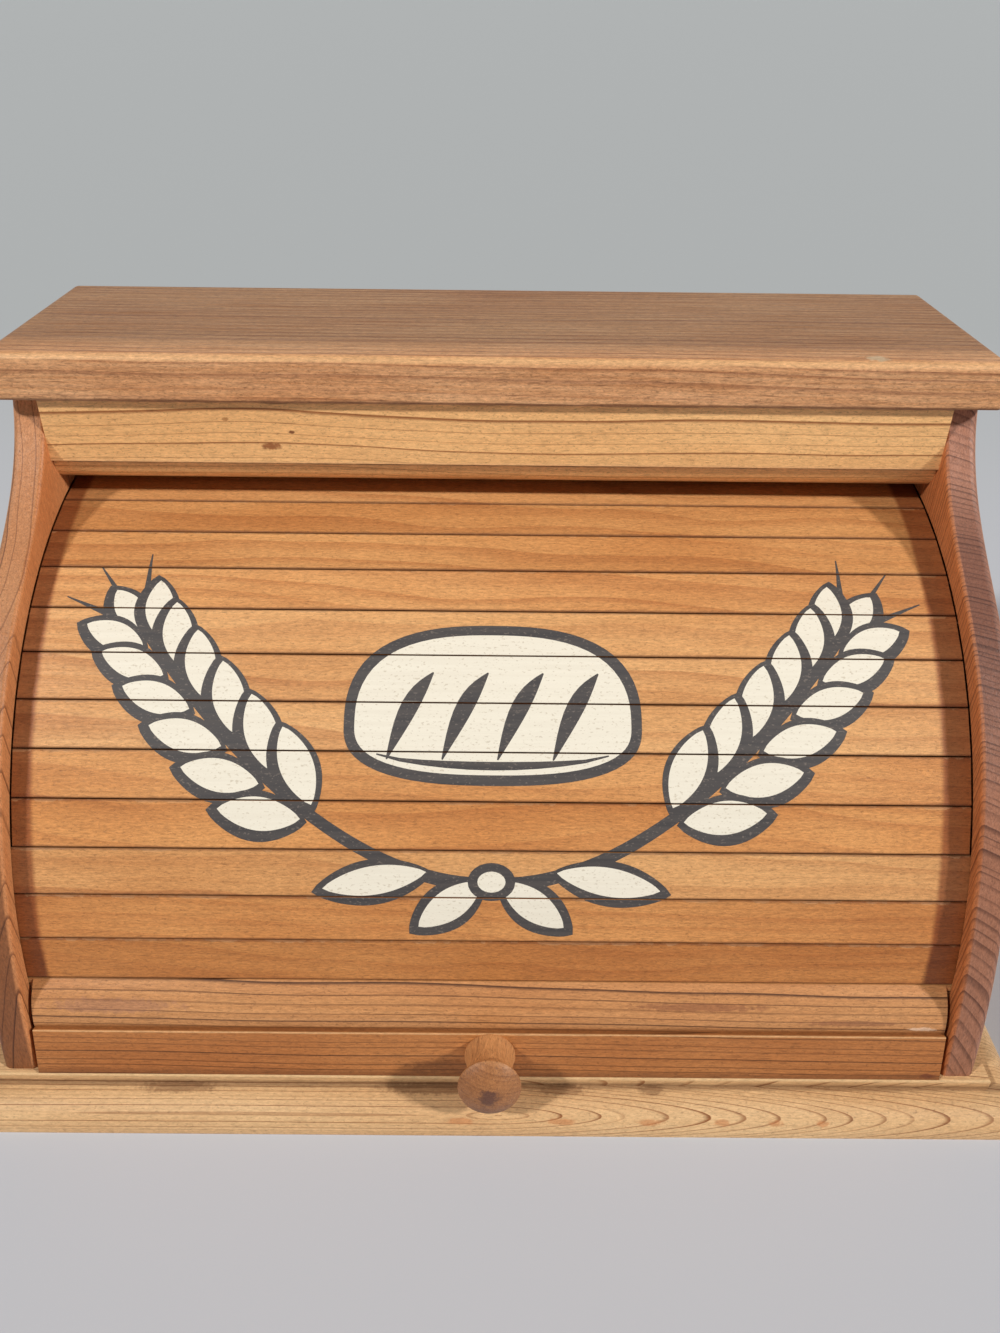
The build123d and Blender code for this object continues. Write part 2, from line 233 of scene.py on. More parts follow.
def use_group(group, **inputs):
    """Place a group and return its outputs. An input's spaces are written as underscores."""
    named = {key.replace("_", " "): value for key, value in inputs.items()}
    return place("Group", named, node_tree=group).outputs


# %% [markdown]
# ## Growth rings
# A board is a cut through a trunk, so its figure is not a picture laid on its face but a solid that
# runs through it: rings round a pith that lies somewhere outside the board, drawn out along the
# grain. One group makes that solid. The pith's place decides whether a face shows straight lines or
# pointed arches, and a slow noise bends the lines as a real trunk's are. Each ring goes slowly from
# pale early wood to dark late wood and then stops short, which is what makes the lines look right.

# %% Build the growth ring group
def build_growth_rings():
    tree, given, end = new_group("growth_rings", {
        "Position": VECTOR, "Pith Y": 0.0, "Pith Z": -0.1, "Lean Y": 0.0, "Lean Z": 0.0,
        "Spacing": 0.005, "Waviness": 0.006, "Line Start": 0.72,
    }, ("Late Wood", "Ring Tone"))
    bend = noise(given["Position"], (5.0, 16.0, 16.0), 2.0, 0.45)["Color"]
    centred = vector_calc("SUBTRACT", bend, (0.5, 0.5, 0.5))
    bent = vector_calc("ADD", given["Position"], scaled(centred, given["Waviness"]))
    x, y, z = split(bent)
    off_y = minus(plus(y, times(x, given["Lean Y"])), given["Pith Y"])
    off_z = minus(plus(z, times(x, given["Lean Z"])), given["Pith Z"])
    rings = calc("DIVIDE", distance(off_y, off_z), given["Spacing"])
    good_years = place("TexNoise", {"W": times(rings, 0.37), "Scale": 1.0, "Detail": 1.0},
                       noise_dimensions="1D").outputs["Fac"]
    rings = plus(rings, times(good_years, 1.6))
    tone = place("TexWhiteNoise", {"W": calc("FLOOR", rings)},
                 noise_dimensions="1D").outputs["Value"]
    in_ring = calc("FRACT", rings)
    darkens = ramp(in_ring, given["Line Start"], 0.96)
    stops_short = ramp(in_ring, 0.965, 1.0, 1.0, 0.0)
    strength = plus(times(tone, 0.6), 0.4)
    late = times(times(darkens, stops_short), strength)
    fill_inputs(end, {"Late Wood": late, "Ring Tone": tone})
    return tree


growth_rings = build_growth_rings()

# %% [markdown]
# ## Fibres
# Between the rings, planed softwood shows fine streaks along the grain, short dark flecks, pores
# and wide soft clouds where the varnish has aged unevenly. All are noises stretched along the
# grain, so one group gives them together, and each board asks for its own share of each.

# %% Build the fibre group
def build_fibres():
    tree, given, end = new_group("fibres", {"Position": VECTOR},
                                 ("Streak", "Fleck", "Cloud", "Speck", "Fine"))

    def stretched(along, across, detail, roughness):
        return noise(given["Position"], (along, across, across), detail, roughness)["Fac"]

    fill_inputs(end, {
        "Streak": ramp(stretched(16.0, 620.0, 3.0, 0.62), 0.3, 0.72),
        "Fleck": ramp(stretched(110.0, 1500.0, 2.0, 0.5), 0.6, 0.72),
        "Cloud": ramp(stretched(7.0, 24.0, 3.0, 0.5), 0.3, 0.7),
        "Speck": ramp(stretched(700.0, 1300.0, 1.0, 0.5), 0.60, 0.74),
        "Fine": minus(stretched(330.0, 1500.0, 4.0, 0.8), 0.5),
    })
    return tree


fibres = build_fibres()

# %% [markdown]
# ## Wear, dirt and painted shade along an edge
# Hands polish the sharp edges pale, and dust settles in the inner corners. Both follow lines that
# run across the box, so one group measures the distance to such a line, roughens it with noise
# and gives a mask. Used with a pale colour it is wear; with a dark one it is dirt, and at a few
# places painted shade.

# %% Build the edge line group
def build_edge_line():
    tree, given, end = new_group("edge_line", {
        "Position": VECTOR, "Line Y": 0.0, "Line Z": 0.0, "Width": 0.002, "Raggedness": 0.5,
    }, ("Mask",))
    _, y, z = split(given["Position"])
    away = distance(minus(y, given["Line Y"]), minus(z, given["Line Z"]))
    rough = noise(given["Position"], (45.0, 500.0, 500.0), 4.0, 0.65)["Fac"]
    swing = times(minus(rough, 0.5), given["Raggedness"])
    reach = times(given["Width"], plus(1.0, times(swing, 2.5)))
    share = calc("DIVIDE", away, calc("MAXIMUM", reach, 0.0001))
    fill_inputs(end, {"Mask": ramp(share, 0.25, 1.0, 1.0, 0.0)})
    return tree


edge_line = build_edge_line()

# %% [markdown]
# ## Knots and stains
# A small knot or a stain is an uneven oval at one place. The group measures how far a point lies
# from the oval's middle, in units of its half sizes, and lets noise fray the rim. A list of such
# spots then puts each mark where the real box has it, which a random scatter could not do.

# %% Build the spot group
FRAY = 1.5                        # how far noise moves a spot's rim, in half sizes


def build_spot():
    tree, given, end = new_group(
        "spot", {"Position": VECTOR, "Centre": VECTOR, "Half Size": VECTOR}, ("Mask",))
    away = vector_calc("SUBTRACT", given["Position"], given["Centre"])
    share = vector_calc("DIVIDE", away, given["Half Size"])
    length = place("VectorMath", {0: share}, operation="LENGTH").outputs["Value"]
    rough = noise(given["Position"], (420.0, 420.0, 420.0), 3.0, 0.6)["Fac"]
    swing = times(minus(rough, 0.5), FRAY)
    fill_inputs(end, {"Mask": ramp(plus(length, swing), 0.55, 1.15, 1.0, 0.0)})
    return tree


spot = build_spot()


def add_spots(here, colour, spots):
    """Lay spots on a colour. Each is a centre, half sizes, a colour and a strength."""
    for centre, half_size, spot_colour, strength in spots:
        mask = use_group(spot, Position=here, Centre=centre, Half_Size=half_size)["Mask"]
        colour = mix_colours(times(mask, strength), colour, tint(*spot_colour))
    return colour


# %% [markdown]
# ## Cut from a trunk
# Boards stand, lie and run from front to back, but the groups above know only grain along X. Each
# board could have groups of its own, but it is simpler to turn the coordinates. A shift along the
# grain then cuts every board from a different length of trunk, so that no two look alike.

# %% Start a material and turn its grain
ALONG_X, ALONG_Y, ALONG_Z = "XYZ", "YXZ", "ZYX"


def new_material(name):
    """A material, its Principled shader, and the place of the point being coloured."""
    material = bpy.data.materials.new(name)
    material.use_nodes = True
    tree = material.node_tree
    return material, tree.nodes["Principled BSDF"], place("TexCoord", tree=tree).outputs["Object"]


def turned_to_grain(here, grain, shift):
    """Coordinates with the grain along X, moved along it."""
    parts = dict(zip("XYZ", split(here)))
    turned = place("CombineXYZ", {axis: parts[source] for axis, source in zip("XYZ", grain)})
    return vector_calc("ADD", turned.outputs[0], (shift, 0.0, 0.0))


def bump(height, strength, depth):
    """A normal that follows a height without moving the surface."""
    made = place("Bump", {"Height": height, "Strength": strength, "Distance": depth})
    return made.outputs["Normal"]


# %% [markdown]
# ## One recipe for all the boards
# Every board is the same softwood under the same satin varnish. So one function makes a board's
# material from its own numbers: two wood colours, the pith, the ring spacing, and lists of worn
# edges and of dark lines, some of dirt and some of painted shade. The varnish is a Principled
# shader whose roughness follows the fibres, and the late wood stands a hair proud, as it does on
# old softwood.

# %% The board recipe
# A dark brown for flecks and specks, for dirt, and for lines of painted shade.
DARK_BROWN = (88, 50, 28)
STREAK_SHADE, CLOUD_SHADE = (0.78, 0.68, 0.58), (0.80, 0.66, 0.54)


def wood_colour(rings, fibre, early, late, line_strength, streaks, flecks, clouds, pores):
    """The colour of clean wood, from its ring and fibre masks."""
    colour = mix_colours(times(rings["Late Wood"], line_strength), tint(*early), tint(*late))
    colour = mix_colours(times(rings["Ring Tone"], 0.10), colour, tint(*late))
    colour = shaded(times(fibre["Streak"], streaks), colour, STREAK_SHADE)
    colour = shaded(times(fibre["Cloud"], clouds), colour, CLOUD_SHADE)
    colour = mix_colours(times(fibre["Fleck"], flecks), colour, tint(*DARK_BROWN))
    return mix_colours(times(fibre["Speck"], pores), colour, tint(*DARK_BROWN))


def add_edges(here, colour, edges, edge_colour, raggedness):
    """Lay lines of wear, dirt and painted shade. Each is a Y, a Z, a width and a strength."""
    for line_y, line_z, width, strength in edges:
        mask = use_group(edge_line, Position=here, Line_Y=line_y, Line_Z=line_z, Width=width,
                         Raggedness=raggedness)["Mask"]
        colour = mix_colours(times(mask, strength), colour, tint(*edge_colour))
    return colour


def board_material(name, early, late, pith=(0.0, -0.1), lean=(0.0, 0.0), spacing=0.005,
                   waviness=0.006, line_start=0.72, line_strength=0.8, grain=ALONG_X, shift=0.0,
                   streaks=0.3, flecks=0.25, clouds=0.35, pores=0.25, contrast=1.6, roughness=0.42,
                   worn=(), dark_lines=(), worn_colour=(226, 176, 124), offset=None, after=None):
    """Varnished wood. offset moves the rings from place to place, after adds marks of its own."""
    material, shader, here = new_material(name)
    moved = turned_to_grain(here, grain, shift)
    if offset:
        moved = vector_calc("ADD", moved, offset(here))
    rings = use_group(growth_rings, Position=moved, Pith_Y=pith[0], Pith_Z=pith[1],
                      Lean_Y=lean[0], Lean_Z=lean[1], Spacing=spacing, Waviness=waviness,
                      Line_Start=line_start)
    fibre = use_group(fibres, Position=moved)
    colour = wood_colour(rings, fibre, early, late, line_strength, streaks, flecks, clouds, pores)
    if after:
        colour = after(here, colour)
    colour = add_edges(here, colour, worn, worn_colour, 0.5)
    colour = add_edges(here, colour, dark_lines, DARK_BROWN, 0.8)
    height = plus(times(rings["Late Wood"], 0.6), times(fibre["Streak"], 0.4))
    height = minus(height, times(fibre["Speck"], 0.7))
    height = plus(height, times(fibre["Fine"], 1.5))
    fill_inputs(shader, {
        "Base Color": scaled(colour, plus(1.0, times(fibre["Fine"], contrast))),
        "Roughness": plus(roughness, times(fibre["Streak"], 0.12)),
        "Normal": bump(height, 0.35, 0.2 * MM),
        "Specular IOR Level": 0.35,
    })
    return material


def finish_node(name, material):
    """Give a carried-over node its material."""
    slots = frame["nodes"][name].data.materials
    slots.clear()
    slots.append(material)
    low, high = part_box(name)
    print(name, "in", material.name, [round(side / MM, 1) for side in high - low], "mm")


# %% [markdown]
# ## Top board
# The top is darker and browner than the rest on its upper face, and painted shade greys that face
# where the light grazes it. A pale line runs along the rounded front edge where the varnish is
# gone, and there is the pale ring that a small wet thing left. The grey is a mask by height and
# depth, so the front edge keeps its warm colour.

# %% Finish the top board
top_low, top_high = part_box("top_board")


def top_shade_and_ring(here, colour):
    """Painted shade greys the upper face, least near the front edge; a pale ring is stained on it.
    """
    _, y, z = split(here)
    depth = ramp(y, top_low.y + 0.001, top_low.y + 0.030, 0.0, 0.8)
    level = ramp(z, top_high.z - 0.003, top_high.z - 0.0005)
    # Painted shade: the upper face is greyed where the light grazes it.
    colour = shaded(times(depth, level), colour, (0.48, 0.47, 0.45))
    pale_ring = (0.155, top_low.y + 0.006, top_high.z)
    return add_spots(here, colour, ((pale_ring, (0.0045, 0.0035, 0.01), (208, 182, 146), 0.8),))


finish_node("top_board", board_material(
    "top_board_varnish", early=(234, 182, 134), late=(140, 82, 54), pith=(-0.30, -0.12),
    lean=(0.012, 0.0), spacing=0.0034, waviness=0.007, line_start=0.55, line_strength=0.6,
    shift=0.7, streaks=1.0, flecks=0.45, clouds=0.85, pores=0.3, contrast=1.9,
    worn=((top_low.y + 0.0012, top_high.z - 0.0012, 0.0022, 0.75),),
    # Painted shadow: a dark line along the lower front edge, in the gap over the valance.
    dark_lines=((top_low.y, top_low.z, 0.0014, 0.8),), after=top_shade_and_ring,
))

# %% [markdown]
# ## Valance
# The palest board of all: yellow softwood with a few clear dark lines that rise and fall slowly.
# A pith far below the board and a wide ring spacing give just those few lines, and a high line
# start keeps each of them thin. Dirt lies in the step above the rounded lower edge. Painted shade
# darkens the underside, and a painted shadow of the top board lies along the top edge.

# %% Finish the valance
valance_low, valance_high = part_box("valance")
step_line = valance_low.z + 10.7 * MM


def valance_knots(here, colour):
    """A small knot, and two pin knots beside it."""
    face = valance_low.y
    return add_spots(here, colour, (
        ((-0.095, face, 0.2322), (0.0042, 0.01, 0.0017), (138, 74, 34), 0.85),
        ((-0.086, face, 0.2385), (0.0014, 0.01, 0.0008), (110, 58, 28), 0.9),
        ((-0.113, face, 0.2440), (0.0018, 0.01, 0.0010), (168, 112, 62), 0.7),
    ))


finish_node("valance", board_material(
    "valance_varnish", early=(254, 202, 138), late=(142, 80, 34), pith=(0.03, -0.30),
    lean=(0.0, 0.004), spacing=0.0052, waviness=0.013, line_start=0.84, line_strength=1.0,
    shift=0.15, streaks=0.2, clouds=0.45, pores=0.3, contrast=1.2,
    worn=((valance_low.y, step_line, 0.0012, 0.55),),
    dark_lines=((valance_low.y + 0.0025, step_line, 0.0020, 0.85),
           # Painted shade on the underside.
           (valance_low.y + 0.008, valance_low.z, 0.005, 0.6),
           # Painted shadow of the top board along the valance's top edge.
           (valance_low.y, valance_high.z, 0.0016, 0.9)), after=valance_knots,
))

# %% [markdown]
# ## Edges of the sides
# The inner face of a side is darkened to a deeper orange by painted shade, and its S-shaped front
# edge has a tint of its own. One board thus shows two colours. They could be two materials, but a
# mask by distance from the box's middle keeps one piece in one material and lets the corner between
# them wear pale.

# %% Colour the edges of the sides
FACE_EDGE = inner_half + 1.2 * MM       # where the inner face turns into the front edge
CORNER_WIDTH = 0.6 * MM


def front_edge_tint(here, colour, edge_tint, inner_face_shade, foot_tint):
    """Painted shade on the inner face; a tint on the front edge, darker at the foot, with a pale
    rim.
    """
    x, _, z = split(here)
    across = calc("ABSOLUTE", x)
    share = ramp(across, FACE_EDGE - CORNER_WIDTH, FACE_EDGE + CORNER_WIDTH)
    low = ramp(z, 0.06, 0.24, 1.0, 0.0)
    outside = shaded(low, shaded(1.0, colour, edge_tint), foot_tint)
    # Painted shade: the inner face is darkened to a deeper orange.
    colour = mix_colours(share, shaded(1.0, colour, inner_face_shade), outside)
    worn = ramp(across, inner_half + 12.6 * MM, inner_half + 13.6 * MM)
    return mix_colours(times(worn, 0.35), colour, tint(222, 176, 136))


def left_edge(here, colour):
    return front_edge_tint(here, colour, (0.90, 0.90, 0.90), (0.88, 0.78, 0.68),
                           (0.42, 0.33, 0.27))


def right_edge(here, colour):
    """Pinker than the left one, and darkened in its hollow by painted shade."""
    colour = front_edge_tint(here, colour, (0.74, 0.74, 0.90), (0.90, 0.68, 0.46),
                             (0.90, 0.92, 0.92))
    x, _, z = split(here)
    # Painted shade: the front edge is darkened in the hollow of its S.
    hollow_shade = times(ramp(z, 0.12, 0.18), ramp(z, 0.20, 0.232, 1.0, 0.0))
    on_edge = times(ramp(x, FACE_EDGE, FACE_EDGE + CORNER_WIDTH),
                    ramp(x, inner_half + 10 * MM, inner_half + 13.8 * MM, 1.0, 0.0))
    return shaded(times(hollow_shade, on_edge), colour, (0.52, 0.46, 0.46))


print("inner faces end", round(FACE_EDGE / MM, 1), "mm from the middle")

# %% [markdown]
# ## Sides
# Their grain stands upright, so the S of the front edge cuts across the rings and shows long
# lines that crowd together where the curve turns. The sides are redder than the valance. They come
# from two trunks: the left with wide rings, the right with close ones.

# %% Finish the two sides
finish_node("left_side", board_material(
    "left_side_varnish", early=(216, 154, 106), late=(92, 46, 24), pith=(0.02, -0.31),
    lean=(0.03, 0.02), spacing=0.0048, waviness=0.012, line_start=0.82, line_strength=0.9,
    grain=ALONG_Z, shift=0.3, streaks=0.4, flecks=0.3, clouds=0.6, after=left_edge,
))
finish_node("right_side", board_material(
    "right_side_varnish", early=(206, 146, 108), late=(78, 36, 24), pith=(-0.42, 0.10),
    lean=(0.05, 0.0), spacing=0.0019, waviness=0.005, line_start=0.55, line_strength=0.75,
    grain=ALONG_Z, shift=1.3, streaks=0.4, flecks=0.3, clouds=0.6, after=right_edge,
))

# %% [markdown]
# ## Arches on the base
# The base is pale like the valance. Its rounded front cuts through the rings at a slant, which
# opens them into long pointed arches at the right, while the left shows straight lines. A second
# pith could not give that, but leading the cut away from the pith from one place on does.

# %% Slant the cut through the base
ARCH_START = -0.010                      # where the cut starts to slant through the rings
ARCH_SLANT = 0.12
FACE_TURN = math.radians(47)             # middle of the rounded face, from straight ahead


def slanted_cut(here):
    """Right of one place the board's front leaves the pith at a slant, which opens the arches."""
    past = calc("MAXIMUM", minus(split(here)[0], ARCH_START), 0.0)
    return place("CombineXYZ", {
        "Y": times(past, ARCH_SLANT * math.cos(FACE_TURN)),
        "Z": times(past, -ARCH_SLANT * math.sin(FACE_TURN)),
    }).outputs[0]


print("cut slants", round(math.degrees(math.atan(ARCH_SLANT)), 1), "degrees")

# %% [markdown]
# ## Base board
# Years of crumbs have left grime on the ledge above the rounded face, and resin has bled in a row
# where the arches point. Both are spots at known places. A dark line along the ledge is partly
# grime and partly painted shade. The upper edge is rubbed pale.

# %% Finish the base board
base_low, base_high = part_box("base_board")
STEP, LEDGE, ROUND = 4.5 * MM, 4.5 * MM, 11.4 * MM
flat_front = base_low.y + LEDGE + ROUND
PITH_DEPTH = 9.8 * MM                    # from the centre of the round
RESIN = ((-0.012, 0.006), (0.030, 0.006), (0.066, 0.006), (0.096, 0.004), (0.118, 0.003),
         (0.137, 0.003))                 # place along the board, and half length
GRIME = ((-0.130, 0.018), (-0.020, 0.030), (0.068, 0.006), (0.030, 0.012))


def base_stains(here, colour):
    """Resin stains in a row where the arches point, and grime on the ledge."""
    face, ledge = base_low.y + 0.002, base_high.z - STEP
    stains = [((x, face, 0.0068), (size, 0.006, 0.0012), (186, 118, 70), 0.6) for x, size in RESIN]
    stains += [((x, flat_front - 0.002, ledge), (size, 0.003, 0.002), (96, 56, 34), 0.5)
               for x, size in GRIME]
    return add_spots(here, colour, stains)


finish_node("base_board", board_material(
    "base_board_varnish", early=(226, 188, 140), late=(134, 78, 36),
    pith=(base_low.y + ROUND - PITH_DEPTH * math.cos(FACE_TURN), PITH_DEPTH * math.sin(FACE_TURN)),
    spacing=0.0017, waviness=0.0022, line_start=0.76, line_strength=1.0, contrast=1.2,
    streaks=0.35, flecks=0.2, clouds=0.45, worn_colour=(238, 202, 152),
    worn=((flat_front, base_high.z, 0.0014, 0.8),), offset=slanted_cut,
    # Dark line along the ledge: partly grime, partly painted shade.
    dark_lines=((flat_front, base_high.z - STEP, 0.0028, 0.55),), after=base_stains,
))

# %% [markdown]
# ## Lift rail
# The rail is the handle of the curtain: a rounded upper part, a thin ledge worn pale, and a leaning
# face with straight dark lines, darkened by painted shade. Its dents and bruises are spots, drawn
# out along the grain, and so is a painted shadow under the knob.

# %% Finish the lift rail
rail_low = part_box("lift_rail")[0]
LEDGE_RADIUS = CURTAIN_RADIUS + 10.5 * MM
ledge_z = base_high.z + 20.5 * MM
ledge_y = ARC_Y - math.sqrt(LEDGE_RADIUS ** 2 - (ledge_z - ARC_Z) ** 2)


def rail_shade_and_marks(here, colour):
    """Painted shade darkens the face below the ledge; spots add dents, bruises, the knob's painted
    shadow.
    """
    # Painted shade on the leaning face below the ledge.
    below = ramp(split(here)[2], ledge_z - 0.0005, ledge_z + 0.0015, 1.0, 0.0)
    colour = shaded(below, colour, (0.80, 0.66, 0.50))
    return add_spots(here, colour, (
        ((-0.155, rail_low.y + 0.010, 0.046), (0.030, 0.02, 0.0030), (150, 106, 88), 0.45),
        ((0.085, rail_low.y + 0.010, 0.047), (0.030, 0.02, 0.0016), (124, 70, 50), 0.5),
        ((0.150, rail_low.y + 0.010, 0.041), (0.022, 0.02, 0.0014), (128, 76, 54), 0.5),
        ((0.178, rail_low.y + 0.004, 0.0385), (0.0065, 0.02, 0.0010), (226, 190, 160), 0.8),
        # Painted shadow of the knob on the face below it.
        ((-0.010, rail_low.y, 0.021), (0.026, 0.02, 0.0035), (92, 52, 28), 0.45),
        ((0.183, rail_low.y, 0.018), (0.004, 0.02, 0.0014), (120, 60, 34), 0.8),
    ))


finish_node("lift_rail", board_material(
    "lift_rail_varnish", early=(208, 150, 98), late=(66, 32, 16), pith=(-0.10, -0.14),
    lean=(0.0, 0.006), spacing=0.0033, line_start=0.74, line_strength=1.0, shift=-0.2,
    streaks=0.5, flecks=0.35, clouds=0.7, pores=0.3, contrast=1.4, after=rail_shade_and_marks,
    worn=((ledge_y, ledge_z, 0.0008, 0.9),),
    dark_lines=((ledge_y + 0.002, ledge_z - 0.0003, 0.0022, 0.45), (rail_low.y, rail_low.z, 0.004, 0.5)),
))

# %% [markdown]
# ## Knob
# The knob was turned with its grain along its axis, so its neck shows fine lines from rail to
# head, and its head shows end grain, which drinks dirt and is darkest in the middle. The board
# recipe serves again, with the grain turned to run from front to back.

# %% Finish the knob
knob_low, knob_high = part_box("knob")


def end_grain(here, colour):
    """Dark in the middle of the head and at its lower side."""
    tip = (0.0, knob_low.y + 0.0010, (knob_low.z + knob_high.z) / 2 + 0.0012)
    rim = (0.0, knob_low.y + 0.006, knob_low.z + 0.002)
    behind = ramp(split(here)[1], knob_low.y + 0.006, knob_low.y + 0.011)
    colour = shaded(minus(1.0, behind), colour, (0.66, 0.60, 0.58))
    return add_spots(here, colour, (
        (rim, (0.012, 0.010, 0.010), (110, 66, 44), 0.5),
        (tip, (0.0046, 0.0040, 0.0046), (84, 54, 48), 0.8),
    ))


finish_node("knob", board_material(
    "knob_varnish", early=(206, 148, 96), late=(122, 74, 44), pith=(-0.02, -0.05), spacing=0.0016,
    waviness=0.003, line_start=0.4, line_strength=0.35, grain=ALONG_Y, streaks=0.5, flecks=0.45,
    clouds=0.5, pores=0.3, roughness=0.36, after=end_grain,
))

# %% [markdown]
# ## Joints between the slats
# Twelve slats could have twelve materials, but a slat's number can be worked out from the angle
# round the arc, so one material serves them all. The same angle gives the distance to the nearest
# joint, where the edges are worn pale on one side and hold dirt on the other.

# %% Build the slat joint group
def build_slat_joints():
    tree, given, end = new_group("slat_joints", {"Position": VECTOR},
                                 ("Number", "Shade", "Worn", "Dirty"))
    _, y, z = split(given["Position"])
    angle = calc("ARCTAN2", minus(z, ARC_Z), minus(ARC_Y, y))
    slats = calc("DIVIDE", minus(angle, RAIL_TOP_ANGLE), SLAT_ANGLE)
    number, inside = calc("FLOOR", slats), calc("FRACT", slats)
    shade = place("TexWhiteNoise", {"W": plus(number, 0.31)},
                  noise_dimensions="1D").outputs["Value"]
    rough = noise(given["Position"], (90.0, 30.0, 30.0), 4.0, 0.65)["Fac"]
    from_low = times(inside, SLAT_PITCH)
    from_high = times(minus(1.0, inside), SLAT_PITCH)
    worn_width = times(ramp(rough, 0.42, 0.62), 0.0016)
    worn = ramp(minus(worn_width, from_high), 0.0, 0.0005)
    dirty_width = plus(0.0007, times(rough, 0.0012))
    share = calc("DIVIDE", calc("MINIMUM", from_low, from_high), dirty_width)
    dark_lines = ramp(share, 0.3, 1.0, 1.0, 0.0)
    fill_inputs(end, {"Number": number, "Shade": shade, "Worn": worn, "Dirty": dark_lines})
    return tree


slat_joints = build_slat_joints()

# %% [markdown]
# ## Each slat its own shade
# The slats came from several boards, some redder and some darker. A random shade would look right
# on its own, but not like this curtain, so two lists say how red and how dark each slat is. A
# colour ramp with hard steps turns a slat's number into its entry.

# %% Look up and lay on each slat's shade
# From the lift rail up. The lowest and the highest are darkest.
REDNESS = (0.60, 0.75, 0.20, 0.75, 0.55, 0.15, 0.15, 0.20, 0.45, 0.25, 0.10, 0.05)
DARKNESS = (0.68, 0.32, 0.20, 0.15, 0.10, 0.05, 0.08, 0.05, 0.05, 0.42, 0.50, 0.30)


def slat_table(number, values):
    """Look up a slat's value by its number."""
    ramp_node = place("ValToRGB",
                      {"Fac": calc("DIVIDE", plus(number, 0.5), SLAT_COUNT)})
    ramp_node.color_ramp.interpolation = "CONSTANT"
    stops = ramp_node.color_ramp.elements
    while len(stops) < len(values):
        stops.new(1.0)
    for index, value in enumerate(values):
        stops[index].position = index / SLAT_COUNT
        stops[index].color = (value, value, value, 1.0)
    return ramp_node.outputs["Color"]


def shade_slats(here, colour):
    """A slat's shade, painted shadows of the sides at its ends, wear and dirt at its joints."""
    joints = use_group(slat_joints, Position=here)
    colour = shaded(slat_table(joints["Number"], REDNESS), colour, (0.90, 0.70, 0.50))
    colour = shaded(slat_table(joints["Number"], DARKNESS), colour, (0.66, 0.48, 0.28))
    # Painted shadow: the slat ends beside each side are darkened, deepening the sides' shadows.
    x = split(here)[0]
    right_side_shadow = ramp(x, inner_half - 13.0 * MM, inner_half - 10.4 * MM)
    left_side_shadow = ramp(x, -inner_half + 7.0 * MM, -inner_half + 9.6 * MM, 1.0, 0.0)
    side_shadows = calc("ADD", right_side_shadow, left_side_shadow, clamp=True)
    colour = shaded(side_shadows, colour, (0.48, 0.34, 0.30))
    colour = mix_colours(times(joints["Worn"], 0.30), colour, tint(236, 188, 136))
    return mix_colours(times(joints["Dirty"], 0.6), colour, tint(92, 46, 26))


print("darkest slat", DARKNESS.index(max(DARKNESS)) + 1)

# %% [markdown]
# ## Slats
# The board recipe does the rest. Without care the figure would run on from slat to slat, as on one
# wide board. So each slat's wood is moved along and across the trunk by its number.

# %% Finish the slats
ALONG_TRUNK, ACROSS_TRUNK, DEEPER = 0.731, 0.0137, 0.021       # from one slat to the next


def cut_apart(here):
    """Move each slat's wood along and across, so that no figure runs on over a joint."""
    joints = use_group(slat_joints, Position=here)
    return place("CombineXYZ", {
        "X": times(joints["Number"], ALONG_TRUNK),
        "Y": times(joints["Number"], ACROSS_TRUNK),
        "Z": times(joints["Shade"], DEEPER),
    }).outputs[0]


slat_varnish = board_material(
    "slat_varnish", early=(234, 184, 127), late=(176, 108, 60), pith=(0.08, -0.16),
    lean=(0.02, 0.03), spacing=0.0075, waviness=0.03, line_start=0.35, line_strength=0.4,
    streaks=0.4, flecks=0.2, clouds=0.8, offset=cut_apart, after=shade_slats,
)
for number in SLATS:
    finish_node(f"slat_{number:02d}", slat_varnish)

# %% [markdown]
# ## Hidden wood and metal
# The back is thin plywood that was never varnished, and the dowels are bare beech. Both are the
# board recipe again, with a duller surface. The screws and nails are zinc-plated steel. Zinc
# crystals give patches of slightly different grey and gloss, so one noise drives both.

# %% Finish the back, dowels, screws and nails
finish_node("back_panel", board_material(
    "back_panel_plywood", early=(214, 178, 130), late=(170, 126, 84), pith=(0.9, 0.1),
    lean=(0.2, 0.05), spacing=0.009, waviness=0.05, line_start=0.3, line_strength=0.5, streaks=0.4,
    flecks=0.35, clouds=0.3, roughness=0.7,
))
finish_node("dowels", board_material(
    "dowel_beech", early=(214, 172, 122), late=(176, 130, 84), spacing=0.0015, waviness=0.002,
    grain=ALONG_Z, line_strength=0.4, roughness=0.6,
))


def steel_material():
    material, shader, here = new_material("zinc_steel")
    patches = noise(here, (900.0, 900.0, 900.0), 3.0)["Fac"]
    fill_inputs(shader, {
        "Base Color": mix_colours(patches, tint(150, 150, 146), tint(196, 194, 186)),
        "Roughness": ramp(patches, 0.3, 0.7, 0.32, 0.55),
        "Metallic": 1.0,
    })
    return material


zinc_steel = steel_material()
for name in ("base_screws", "knob_screw", "back_nails"):
    finish_node(name, zinc_steel)

# %% [markdown]
# ## Canvas
# A roll-top holds together because its slats are glued to one cloth. It shows only from inside,
# but then it is all that shows, so it gets a real weave: two sets of threads that pass over and
# under each other. Two waves multiplied make that check. They run in the cloth's own directions,
# across the box and round the arc, so the threads follow the curve.

# %% Weave a canvas material
THREAD_PITCH = 1.1 * MM                  # two threads, one over and one under


